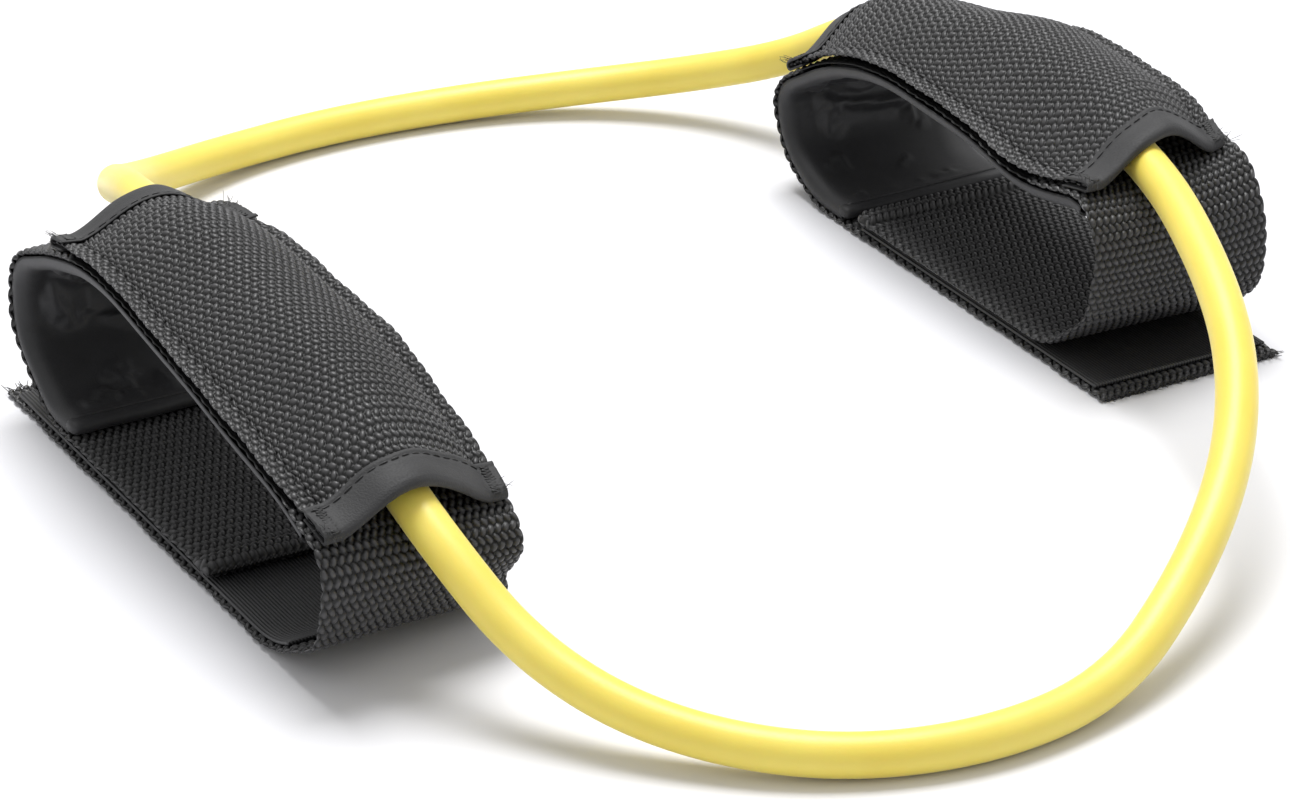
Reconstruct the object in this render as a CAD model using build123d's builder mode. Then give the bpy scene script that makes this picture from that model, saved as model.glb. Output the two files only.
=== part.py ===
"""Resistance band: two webbing ankle cuffs on one closed loop of rubber tube.

Units are millimetres. +X runs from the left cuff to the right one, across the webbing. Each cuff is
long along Y, and +Z is up. The origin is on the floor, at the centre of the two cuffs' footprint.

A cuff's side view is drawn in its own plane: the first coordinate runs along the cuff from its
sewn-back end to its fold end, and the second is the height above the floor.
"""

import os
from math import pi, radians, tan

from build123d import *

# ---- driving dimensions -------------------------------------------------------------------------
WEB_WIDTH = 50.8  # two-inch webbing
WEB_THICK = 1.8
TUBE_OD = 9.5
TUBE_ID = 5.0
CUFF_SPACING = 218.8  # between the middles of the two cuffs
HALF_LENGTH = 91.5  # from the origin to the fold end of either cuff
TAPE_THICK = 0.5  # hem binding tape
FOAM_THICK = 3.0
LINING_THICK = 0.8
HOOK_THICK = 0.9
LOOP_THICK = 0.9
SLACK = 0.3  # gap left between pieces that move apart

# ---- sizes that follow from them ----------------------------------------------------------------
HALF_WEB = WEB_THICK / 2
TUBE_GAP = 0.35
TUBE_RISE = HALF_WEB + TUBE_GAP + TUBE_OD / 2  # tube centre above the strap's middle layer
COVER_FOOT = HALF_WEB + TAPE_THICK + HALF_WEB  # cover's sewn margin above the same layer
COVER_CROWN = HALF_WEB + 2 * TUBE_GAP + TUBE_OD + TAPE_THICK + HALF_WEB
TAIL_Z = HALF_WEB
INNER_TAIL_Z = WEB_THICK + HOOK_THICK + SLACK + LOOP_THICK + HALF_WEB
FOAM_DROP = HALF_WEB + FOAM_THICK / 2
LINING_DROP = HALF_WEB + FOAM_THICK + LINING_THICK / 2

SEAM_INSET = 4.5  # long seams, in from the webbing's edges
ARCH_INSET = 9.9  # foot of the cover's arch, in from the webbing's edges
ARCH_RADIUS = 6.5
CROWN_WIDTH = 13.0
BINDING_LENGTH = 9.5
COVER_RECESS = 0.5  # cover stops this far inside its binding's fold
HINGE_GAP = HALF_WEB + 2 * SLACK  # strap stops this far short of the hinge line
LINING_WIDTH = WEB_WIDTH - 1.0
FOAM_WIDTH = WEB_WIDTH - 9.0
HOOK_WIDTH = WEB_WIDTH - 2.0
HOOK_START = 1.5  # past the hinge line

PLUG_STEM = 11.0
PLUG_STEM_OD = 4.9
PLUG_BARB_OD = 5.4
PLUG_COLLAR = 1.5


# ---- small helpers ------------------------------------------------------------------------------
def turn_at(before, corner, after):
    """Angle in degrees by which a route turns at a corner."""
    arriving = Vector(*corner) - Vector(*before)
    leaving = Vector(*after) - Vector(*corner)
    return arriving.get_angle(leaving)


def easy_radii(points):
    """The largest arcs that each corner's shorter run leaves room for."""
    radii = []
    for before, corner, after in zip(points, points[1:], points[2:]):
        arriving = (Vector(*corner) - Vector(*before)).length
        leaving = (Vector(*after) - Vector(*corner)).length
        half_turn = radians(turn_at(before, corner, after)) / 2
        radii.append(0.45 * min(arriving, leaving) / tan(half_turn))
    return radii


def offset_route(points, distance):
    """A side-view route moved sideways, to its left as it is walked, with its corners mitred."""
    normals = []
    for start, end in zip(points, points[1:]):
        heading = (Vector(*end) - Vector(*start)).normalized()
        normals.append(Vector(-heading.Y, heading.X))
    moved = []
    for index, point in enumerate(points):
        before = normals[max(index - 1, 0)]
        after = normals[min(index, len(normals) - 1)]
        mitre = (before + after).normalized()
        place = Vector(*point) + mitre * (distance / mitre.dot(before))
        moved.append((place.X, place.Y))
    return moved


def between(start, end, share):
    """The point a given share of the way along a run."""
    return tuple(a + (b - a) * share for a, b in zip(start, end))


def run_length(start, end):
    return (Vector(*end) - Vector(*start)).length


def finish(part, name):
    """Labels a finished piece and writes its STEP file."""
    part.label = name
    export_step(part, f"parts/{name}.step")


# ---- the two cuffs' side views ------------------------------------------------------------------
# The strap's middle layer, from the inner tail's free end, round the sewn-back end, over the top
# and down the fold end. Each corner has the radius that rounds it.
LEFT_STRAP = [
    ((106.0, INNER_TAIL_Z), 0.0),
    ((20.0, INNER_TAIL_Z), 14.0),
    ((2.5, 18.0), 14.0),
    ((2.5, 40.0), 14.0),
    ((22.0, 47.2), 38.0),
    ((55.0, 50.0), 110.0),
    ((98.0, 46.5), 150.0),
    ((137.0, 38.5), 100.0),
    ((160.5, 29.0), 11.0),
    ((154.0, 10.0), 18.0),
    ((136.0, TAIL_Z), 36.0),
    ((-4.0, TAIL_Z), 0.0),
]
RIGHT_STRAP = [
    ((103.0, INNER_TAIL_Z), 0.0),
    ((19.0, INNER_TAIL_Z), 14.0),
    ((3.5, 17.0), 14.0),
    ((1.5, 36.0), 16.0),
    ((12.0, 46.5), 17.0),
    ((58.0, 49.0), 240.0),
    ((97.0, 48.3), 110.0),
    ((122.0, 42.0), 80.0),
    ((146.5, 29.0), 11.0),
    ((141.0, 9.5), 18.0),
    ((124.0, TAIL_Z), 30.0),
    ((-4.5, TAIL_Z), 0.0),
]


class Cuff:
    """One cuff's named places: its plane, its strap route and where each layer starts and ends."""

    def __init__(self, side, strap, length, fold_run, fold_share, hems, lined_to_fold):
        toward_right = side == "right"
        self.side = side
        self.points = [point for point, _ in strap]
        self.radii = [radius for _, radius in strap][1:-1]
        self.centre_x = CUFF_SPACING / 2 if toward_right else -CUFF_SPACING / 2
        self.fold_y = HALF_LENGTH if toward_right else -HALF_LENGTH
        self.heading = 1 if toward_right else -1
        self.start_y = self.fold_y - self.heading * length
        self.plane = Plane(
            origin=(self.centre_x, self.start_y, 0),
            x_dir=(0, self.heading, 0),
            z_dir=(self.heading, 0, 0),
        )
        self.fold_run = fold_run  # the run of the strap's route that carries the flap's hinge
        self.hinge = between(self.points[fold_run], self.points[fold_run + 1], fold_share)
        self.hems = hems  # distances of the two hems past corners 4 and 7
        self.lined_to_fold = lined_to_fold

    def place(self, point, sideways=0.0):
        """A side-view point in the object's own frame."""
        along, up = point
        return (self.centre_x + sideways, self.start_y + self.heading * along, up)

    def point_past(self, corner, distance):
        """The point of the strap's route a distance past one of its corners."""
        start, end = self.points[corner], self.points[corner + 1]
        return between(start, end, distance / run_length(start, end))

    def channel(self):
        """The stretch of the strap's route under the cover, with its corners' radii."""
        high_hem = self.point_past(4, self.hems[0])
        low_hem = self.point_past(7, self.hems[1])
        return [high_hem] + self.points[5:8] + [low_hem], self.radii[4:7]


LEFT = Cuff("left", LEFT_STRAP, 158.6, 9, 0.49, (6.5, 14.0), False)
RIGHT = Cuff("right", RIGHT_STRAP, 145.4, 10, 0.16, (7.5, 17.5), True)


# ---- webbing, pad and tapes ---------------------------------------------------------------------
def band(plane, points, radii, thickness, width):
    """A strip of even thickness that follows a side-view route, centred on the cuff."""
    with BuildPart() as strip:
        with BuildSketch(plane):
            with BuildLine():
                if radii:
                    FilletPolyline(*points, radius=radii)
                else:
                    Polyline(*points)
            trace(line_width=thickness)
        extrude(amount=width / 2, both=True)
    return strip.part


def strap(cuff):
    """Base webbing: inner tail, sewn-back end, top and fold end, up to the flap's hinge."""
    corner = cuff.points[cuff.fold_run]
    stop = between(cuff.hinge, corner, HINGE_GAP / run_length(cuff.hinge, corner))
    points = cuff.points[:cuff.fold_run + 1] + [stop]
    with BuildPart() as piece:
        add(band(cuff.plane, points, cuff.radii[:cuff.fold_run], WEB_THICK, WEB_WIDTH))
    finish(piece.part, f"{cuff.side}_strap")


def closure_tail(cuff):
    """Outer tail of the webbing, which peels away at a rounded nose on the hinge line."""
    points = [cuff.hinge] + cuff.points[cuff.fold_run + 1:]
    with BuildPart() as piece:
        add(band(cuff.plane, points, cuff.radii[cuff.fold_run:], WEB_THICK, WEB_WIDTH))
        with BuildSketch(cuff.plane):
            with Locations(cuff.hinge):
                Circle(HALF_WEB)
        extrude(amount=WEB_WIDTH / 2, both=True)
    finish(piece.part, f"{cuff.side}_closure_tail")


def hook_tape(cuff):
    """Hook side of the closure, on the upper face of the closure tail."""
    rise = HALF_WEB + HOOK_THICK / 2
    route = [cuff.hinge] + cuff.points[cuff.fold_run + 1:]
    points = offset_route(route, -rise)
    points[0] = between(points[0], points[1], HOOK_START / run_length(points[0], points[1]))
    points[-1] = (points[-1][0] + 3.0, points[-1][1])
    radii = [radius - rise for radius in cuff.radii[cuff.fold_run:]]
    with BuildPart() as piece:
        add(band(cuff.plane, points, radii, HOOK_THICK, HOOK_WIDTH))
    finish(piece.part, f"{cuff.side}_hook_tape")


def loop_tape(cuff):
    """Loop side of the closure, under the inner tail."""
    height = INNER_TAIL_Z - HALF_WEB - LOOP_THICK / 2
    free_end, bend = cuff.points[0][0], cuff.points[1][0]
    with BuildPart() as piece:
        add(
            band(
                cuff.plane,
                [(free_end - 4.0, height), (bend + 6.0, height)],
                [],
                LOOP_THICK,
                HOOK_WIDTH,
            )
        )
    finish(piece.part, f"{cuff.side}_loop_tape")


def lined_route(cuff, drop):
    """The stretch of the strap that is padded, moved inwards by a layer's depth, and its radii."""
    if cuff.lined_to_fold:
        points = [cuff.point_past(4, 4.0)] + cuff.points[5:11]
        points.append((cuff.points[10][0] - 14.0, TAIL_Z))
        radii = cuff.radii[4:10]
    else:
        points = [(cuff.points[1][0] + 12.0, INNER_TAIL_Z)] + cuff.points[1:8]
        points.append(cuff.point_past(7, 14.0))
        radii = cuff.radii[:7]
    return offset_route(points, -drop), [radius - drop for radius in radii]


def foam_pad(cuff):
    """Foam under the top of the cuff and round one end."""
    points, radii = lined_route(cuff, FOAM_DROP)
    points[0] = between(points[0], points[1], 0.15)
    points[-1] = between(points[-1], points[-2], 0.15)
    with BuildPart() as piece:
        add(band(cuff.plane, points, radii, FOAM_THICK, FOAM_WIDTH))
    finish(piece.part, f"{cuff.side}_foam_pad")


def lining(cuff):
    """Smooth lining that covers the foam."""
    points, radii = lined_route(cuff, LINING_DROP)
    with BuildPart() as piece:
        add(band(cuff.plane, points, radii, LINING_THICK, LINING_WIDTH))
    finish(piece.part, f"{cuff.side}_lining")


def lining_hem(cuff):
    """Rolled hem that ends the lining on the bottom of the cuff."""
    hem_length, hem_height = 5.0, FOAM_THICK + LINING_THICK
    if cuff.lined_to_fold:
        along, base = cuff.points[10][0] - 14.0 - hem_length / 2, TAIL_Z + HALF_WEB
    else:
        along = cuff.points[1][0] + 12.0 + hem_length / 2
        base = INNER_TAIL_Z + HALF_WEB
    with BuildPart() as piece:
        with BuildSketch(cuff.plane):
            with Locations((along, base + hem_height / 2)):
                RectangleRounded(hem_length, hem_height, 1.4)
        extrude(amount=LINING_WIDTH / 2, both=True)
    finish(piece.part, f"{cuff.side}_lining_hem")


# ---- channel cover, bindings and sewing ---------------------------------------------------------
def up_from(run):
    """The upward direction square to a run of a cuff's side view."""
    across = Vector(1, 0, 0)
    square = across.cross(run).normalized()
    return square if square.Z > 0 else -square


def bell_corners():
    """Section of the cover: two flat sewn margins and an arch that clears the tube."""
    edge, foot, shoulder = WEB_WIDTH / 2, WEB_WIDTH / 2 - ARCH_INSET, CROWN_WIDTH / 2
    half = [(edge, COVER_FOOT), (foot, COVER_FOOT), (shoulder, COVER_CROWN)]
    return [(-across, height) for across, height in half] + half[::-1]


def bell(cuff, points, radii, thickness):
    """The bell section swept along a stretch of the strap's middle layer."""
    places = [cuff.place(point) for point in points]
    run = Vector(*places[1]) - Vector(*places[0])
    upward = up_from(run)
    section = Plane(origin=places[0], x_dir=upward.cross(run), z_dir=run)
    with BuildPart() as arch:
        with BuildLine():
            if radii:
                FilletPolyline(*places, radius=radii)
            else:
                Polyline(*places)
        with BuildSketch(section):
            with BuildLine():
                FilletPolyline(*bell_corners(), radius=ARCH_RADIUS)
            trace(line_width=thickness)
        sweep()
    return arch.part


def channel_cover(cuff):
    """Second strip of webbing, sewn down along both edges, that makes the tube's sleeve."""
    points, radii = cuff.channel()
    share = COVER_RECESS / run_length(points[0], points[1])
    points[0] = between(points[0], points[1], share)
    share = COVER_RECESS / run_length(points[-1], points[-2])
    points[-1] = between(points[-1], points[-2], share)
    with BuildPart() as piece:
        add(bell(cuff, points, radii, WEB_THICK))
    finish(piece.part, f"{cuff.side}_channel_cover")
    return piece.part


def hem_bindings(cuff, cover):
    """Folded tape over each end of the cover."""
    bindings = []
    points, _ = cuff.channel()
    ends = {"high": (points[0], points[1]), "low": (points[-1], points[-2])}
    for name, (hem, inward) in ends.items():
        back = between(hem, inward, BINDING_LENGTH / run_length(hem, inward))
        with BuildPart() as piece:
            add(bell(cuff, [hem, back], [], WEB_THICK + 2 * TAPE_THICK))
            add(cover, mode=Mode.SUBTRACT)
        finish(piece.part, f"{cuff.side}_{name}_binding")
        bindings.append(piece.part)
    return bindings


def seam_stitching(cuff, bindings):
    """Thread of the two long seams that hold the cover down, from one binding to the other."""
    thread_height, thread_width = 0.4, 0.8
    points, radii = cuff.channel()
    rise = COVER_FOOT + HALF_WEB + thread_height / 2
    route = offset_route(points, rise)
    with BuildPart() as piece:
        for side in (-1, 1):
            sideways = side * (WEB_WIDTH / 2 - SEAM_INSET) - thread_width / 2
            with BuildSketch(cuff.plane.offset(sideways)):
                with BuildLine():
                    FilletPolyline(*route, radius=[radius + rise for radius in radii])
                trace(line_width=thread_height)
            extrude(amount=thread_width)
        add(bindings, mode=Mode.SUBTRACT)
    finish(piece.part, f"{cuff.side}_seam_stitching")


def bar_tacks(cuff):
    """Dense stitching that locks the four corners of the cover's hems."""
    length, width, height = 7.0, 2.4, 0.6
    inset = SEAM_INSET - 1.8
    points, _ = cuff.channel()
    top = COVER_FOOT + HALF_WEB + TAPE_THICK
    with BuildPart() as piece:
        for hem, inward in ((points[0], points[1]), (points[-1], points[-2])):
            run = Vector(*cuff.place(inward)) - Vector(*cuff.place(hem))
            flat = Plane(origin=cuff.place(hem), x_dir=run.normalized(), z_dir=up_from(run))
            for side in (-1, 1):
                spot = (length / 2 + 1.0, side * (WEB_WIDTH / 2 - inset))
                with BuildSketch(flat.offset(top)):
                    with Locations(spot):
                        RectangleRounded(length, width, 1.0)
                extrude(amount=height)
    finish(piece.part, f"{cuff.side}_bar_tacks")


# ---- tube and joiner ----------------------------------------------------------------------------
def tube_corners(cuff):
    """The tube's corners inside a cuff, above the strap's corners 5 to 7."""
    points, _ = cuff.channel()
    return offset_route(points, TUBE_RISE)[1:-1]


# Corners of the tube's route outside the cuffs, walked from the left cuff's low hem round the front
# to the right cuff's high hem, and from the right cuff's low hem round the back to the left one's.
FRONT_SPAN = [
    (-109.0, -97.1, 33.9),
    (-101.5, -121.1, 17.5),
    (-87.0, -146.1, 8.4),
    (-62.0, -169.6, 5.0),
    (-29.0, -180.6, 4.85),
    (6.0, -175.6, 5.2),
    (36.0, -159.1, 15.5),
    (60.0, -140.1, 26.5),
    (79.0, -115.6, 36.0),
    (92.0, -87.1, 44.0),
    (105.5, -49.1, 52.1),
]
BACK_SPAN = [
    (109.0, 92.9, 35.7),
    (102.5, 112.9, 21.5),
    (87.0, 135.9, 12.0),
    (62.0, 154.4, 6.6),
    (31.0, 164.4, 4.9),
    (-4.0, 167.4, 4.85),
    (-37.0, 162.4, 5.6),
    (-62.0, 149.4, 10.0),
    (-79.0, 127.9, 20.0),
    (-91.0, 103.9, 32.0),
    (-101.0, 74.9, 44.5),
    (-107.5, 50.9, 52.7),
]


def tube_route():
    """The whole loop, from one face of the joiner's collar round to the other."""
    left = [LEFT.place(point) for point in tube_corners(LEFT)]
    right = [RIGHT.place(point) for point in tube_corners(RIGHT)]
    middle = between(left[0], left[1], 0.5)
    collar = PLUG_COLLAR / 2 / run_length(left[0], left[1])
    start = between(left[0], left[1], 0.5 + collar)
    end = between(left[0], left[1], 0.5 - collar)
    route = [start] + left[1:] + FRONT_SPAN + right + BACK_SPAN + [left[0], end]
    return route, middle


def rubber_tube(route):
    """Hollow tube swept along straight runs and the arcs between them."""
    radii = easy_radii(route)
    start = Plane(origin=route[0], z_dir=(Vector(*route[1]) - Vector(*route[0])).normalized())
    with BuildPart() as piece:
        with BuildLine() as line:
            FilletPolyline(*route, radius=radii)
        with BuildSketch(start):
            Circle(TUBE_OD / 2)
            Circle(TUBE_ID / 2, mode=Mode.SUBTRACT)
        sweep()
    length = line.wires()[0].length
    section = pi * (TUBE_OD**2 - TUBE_ID**2) / 4
    print("tube length", round(length, 1), "volume share", round(piece.part.volume / section / length, 4))
    print("tube radii", [round(radius) for radius in radii], "smallest wanted", 5 * TUBE_OD)
    finish(piece.part, "tube")


def tube_joiner(route, middle):
    """Barbed plug that joins the tube's two ends inside the left cuff's sleeve."""
    axis = (Vector(*route[1]) - Vector(*route[0])).normalized()
    with BuildPart() as piece:
        with BuildSketch(Plane(origin=middle, z_dir=axis)):
            Circle(TUBE_OD / 2)
        extrude(amount=PLUG_COLLAR / 2, both=True)
        for direction in (axis, -axis):
            face = Plane(origin=Vector(*middle) + direction * (PLUG_COLLAR / 2), z_dir=direction)
            with BuildSketch(face):
                Circle(PLUG_STEM_OD / 2)
            extrude(amount=PLUG_STEM)
            for ring in range(3):
                with BuildSketch(face.offset(2.5 + 3.0 * ring)):
                    Circle(PLUG_BARB_OD / 2)
                with BuildSketch(face.offset(4.3 + 3.0 * ring)):
                    Circle(PLUG_STEM_OD / 2)
                loft()
    finish(piece.part, "tube_joiner")


# ---- build --------------------------------------------------------------------------------------
def main():
    os.makedirs("parts", exist_ok=True)
    for cuff in (LEFT, RIGHT):
        strap(cuff)
        closure_tail(cuff)
        hook_tape(cuff)
        loop_tape(cuff)
        foam_pad(cuff)
        lining(cuff)
        lining_hem(cuff)
        cover = channel_cover(cuff)
        bindings = hem_bindings(cuff, cover)
        seam_stitching(cuff, bindings)
        bar_tacks(cuff)
        print(cuff.side, "flap hinge", [round(value, 3) for value in cuff.place(cuff.hinge)])
    route, middle = tube_route()
    rubber_tube(route)
    tube_joiner(route, middle)
    print("tube route", [tuple(round(value, 2) for value in point) for point in route])


main()
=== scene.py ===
"""Looks of the resistance band: two webbing ankle cuffs on one closed loop of rubber tube.

Lengths are worked out in millimetres and scaled to metres when a mesh is made. Each cuff is drawn in
its own terms: how far along its strap's route, how far across the webbing, and how far out from it.
"""

import copy
import math

import bpy
import numpy as np
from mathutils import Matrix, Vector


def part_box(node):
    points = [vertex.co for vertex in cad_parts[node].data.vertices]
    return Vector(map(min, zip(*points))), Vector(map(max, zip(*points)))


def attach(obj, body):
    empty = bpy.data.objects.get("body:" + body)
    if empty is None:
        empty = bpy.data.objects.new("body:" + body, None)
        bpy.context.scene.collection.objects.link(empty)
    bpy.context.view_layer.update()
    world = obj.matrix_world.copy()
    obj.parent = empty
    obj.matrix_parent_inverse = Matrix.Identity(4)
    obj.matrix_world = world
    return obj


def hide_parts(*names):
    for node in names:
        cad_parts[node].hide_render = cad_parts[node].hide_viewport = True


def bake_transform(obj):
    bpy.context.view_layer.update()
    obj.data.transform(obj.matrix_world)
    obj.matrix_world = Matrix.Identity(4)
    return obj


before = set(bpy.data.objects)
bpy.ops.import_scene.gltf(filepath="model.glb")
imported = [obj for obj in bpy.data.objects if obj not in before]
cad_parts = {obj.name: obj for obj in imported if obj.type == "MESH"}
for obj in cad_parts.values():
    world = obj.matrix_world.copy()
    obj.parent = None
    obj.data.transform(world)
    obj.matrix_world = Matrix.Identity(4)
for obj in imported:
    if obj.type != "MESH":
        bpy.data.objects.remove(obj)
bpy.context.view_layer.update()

MM = 0.001
RNG_SEED = 7

# ---- sizes shared with the CAD parts ------------------------------------------------------------
WEB_WIDTH = 50.8
WEB_THICK = 1.8
HALF_WEB = WEB_THICK / 2
HALF_WIDTH = WEB_WIDTH / 2
TUBE_OD = 9.5
TUBE_ID = 5.0
TAPE_THICK = 0.5
FOAM_THICK = 3.0
LINING_THICK = 0.8
HOOK_THICK = 0.9
LOOP_THICK = 0.9
INNER_TAIL_Z = 4.8
COVER_FOOT = WEB_THICK + TAPE_THICK
COVER_CROWN = 12.5
SEAM_INSET = 4.5
BINDING_LENGTH = 9.5

# ---- looks --------------------------------------------------------------------------------------
YARN_PITCH = 1.954  # across the webbing: 26 floats to its width
ROW_PITCH = 2.0  # along it
SAMPLES = 8  # mesh steps to a yarn, both ways
EDGE_STEPS = (0.3, 0.12, 0.0)  # last mesh steps before the webbing's edge
RELIEF = 0.85  # depth of the gaps between floats
FLOAT_SLANT = 0.34  # yarns sideways to a row
FLOAT_WIDTH = 0.45  # half of a float's width, in yarns
FLOAT_LENGTH = 0.56  # half of its length, in rows
SCALLOP = 0.55  # depth of the scallops in the woven edges
WANDER = 0.3  # how far those edges drift in and out
HINGE_GAP = 1.5  # the tail's own webbing starts this far short of the hinge line
HINGE_BEND = 7.0  # where the flap's bend over the hinge line would end, this far past it; that point is worked out but not used
RIB_PITCH = 0.8  # of the hook tape
SEAM_AT = HALF_WIDTH - SEAM_INSET
ARCH_POWER = 1.35  # 1 is a plain sine arch, and more is a narrower one
FAR_BULGE = 0.65  # how much fuller the arch is on its far side
PINCH_REACH = 16.0  # how far in from a hem its arch starts to draw the cover's edges together
LINING_INSET = 0.4  # lining starts this far inside the stretch that is lined
CLOTH_STEP = 1.5  # mesh size of the simulated lining
CLOTH_EASE = 0.08  # how much too long and wide it is cut
CLOTH_FRAMES = 24
MOST_BUCKLE = 3.5  # cap on how far the lining may buckle inwards
STITCH_INSET = 8.0  # hem stitches, in from the hem
STITCH_PITCH = 2.9


def centre_of(node):
    low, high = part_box(node)
    return (low + high) / 2 / MM


# ---- side views ---------------------------------------------------------------------------------
def rounded(corners, step=0.4):
    """Points along a side-view route whose corners are arcs: ((along, up), radius) for each one."""
    points = [np.array(corners[0][0], float)]
    for index in range(1, len(corners) - 1):
        before, corner, after = (np.array(corners[index + k][0], float) for k in (-1, 0, 1))
        radius = corners[index][1]
        arriving = (corner - before) / np.linalg.norm(corner - before)
        leaving = (after - corner) / np.linalg.norm(after - corner)
        cross = arriving[0] * leaving[1] - arriving[1] * leaving[0]
        turn = math.atan2(cross, float(arriving @ leaving))
        reach = radius * abs(math.tan(turn / 2))
        side = np.array([-arriving[1], arriving[0]]) * math.copysign(1, turn)
        middle = corner - arriving * reach + side * radius
        spoke = -side * radius
        for share in np.linspace(0, 1, max(3, int(abs(turn) * radius / step))):
            angle = turn * share
            cos, sin = math.cos(angle), math.sin(angle)
            turned = [cos * spoke[0] - sin * spoke[1], sin * spoke[0] + cos * spoke[1]]
            points.append(middle + np.array(turned))
    points.append(np.array(corners[-1][0], float))
    return np.array(points)


class Route:
    """A side-view route measured by its own length, with its outward direction."""

    def __init__(self, points, step=0.5, soften=2.0):
        gaps = np.linalg.norm(np.diff(points, axis=0), axis=1)
        keep = np.concatenate([[True], gaps > 1e-6])
        points = points[keep]
        run = np.concatenate([[0], np.cumsum(np.linalg.norm(np.diff(points, axis=0), axis=1))])
        count = int(run[-1] / step) + 1
        even = np.linspace(0, run[-1], count)
        line = np.stack([np.interp(even, run, points[:, k]) for k in (0, 1)], 1)
        spread = max(1, int(3 * soften / step))
        weights = np.exp(-0.5 * (np.arange(-spread, spread + 1) * step / soften) ** 2)
        weights /= weights.sum()
        padded = np.concatenate([
            2 * line[0] - line[spread:0:-1],
            line,
            2 * line[-1] - line[-2:-spread - 2:-1],
        ])
        line = np.stack([np.convolve(padded[:, k], weights, "valid") for k in (0, 1)], 1)
        self.line = line
        self.run = np.concatenate([[0], np.cumsum(np.linalg.norm(np.diff(line, axis=0), axis=1))])
        self.length = self.run[-1]
        self.ends = (0.0, self.length)
        heading = np.gradient(line, self.run, axis=0)
        heading /= np.linalg.norm(heading, axis=1)[:, None]
        self.outward = np.stack([-heading[:, 1], heading[:, 0]], 1)

    def at(self, along):
        """Places and outward directions at distances along the route, which may pass its ends."""
        along = np.asarray(along, float)
        inside = np.clip(along, *self.ends)
        place = np.stack([np.interp(inside, self.run, self.line[:, k]) for k in (0, 1)], -1)
        out = np.stack([np.interp(inside, self.run, self.outward[:, k]) for k in (0, 1)], -1)
        out /= np.linalg.norm(out, axis=-1, keepdims=True)
        heading = np.stack([out[..., 1], -out[..., 0]], -1)
        return place + heading * (along - inside)[..., None], out

    def between(self, start, end):
        """The same route and distances, but straight on past these two places."""
        part = copy.copy(self)
        part.ends = (start, end)
        return part

    def nearest(self, point):
        """The distance along the route of the place nearest to a side-view point."""
        return float(self.run[np.argmin(np.linalg.norm(self.line - np.array(point), axis=1))])


LEFT_STRAP = [
    ((106.0, INNER_TAIL_Z), 0),
    ((20.0, INNER_TAIL_Z), 14),
    ((1.5, 18.0), 14),
    ((1.3, 40.0), 14),
    ((22.0, 47.2), 38),
    ((55.0, 50.0), 110),
    ((98.0, 46.5), 150),
    ((137.0, 38.5), 100),
    ((162.0, 30.2), 8),
    ((154.0, 10.0), 18),
    ((136.0, HALF_WEB), 36),
    ((-4.0, HALF_WEB), 0),
]
RIGHT_STRAP = [
    ((103.0, INNER_TAIL_Z), 0),
    ((19.0, INNER_TAIL_Z), 14),
    ((3.5, 17.0), 14),
    ((1.2, 36.0), 16),
    ((8.5, 47.2), 11),
    ((58.0, 49.0), 240),
    ((97.0, 48.3), 110),
    ((122.0, 42.0), 80),
    ((146.5, 29.0), 11),
    ((141.0, 9.5), 18),
    ((124.0, HALF_WEB), 30),
    ((-4.5, HALF_WEB), 0),
]


def smooth(x):
    x = np.clip(x, 0, 1)
    return x * x * (3 - 2 * x)


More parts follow.
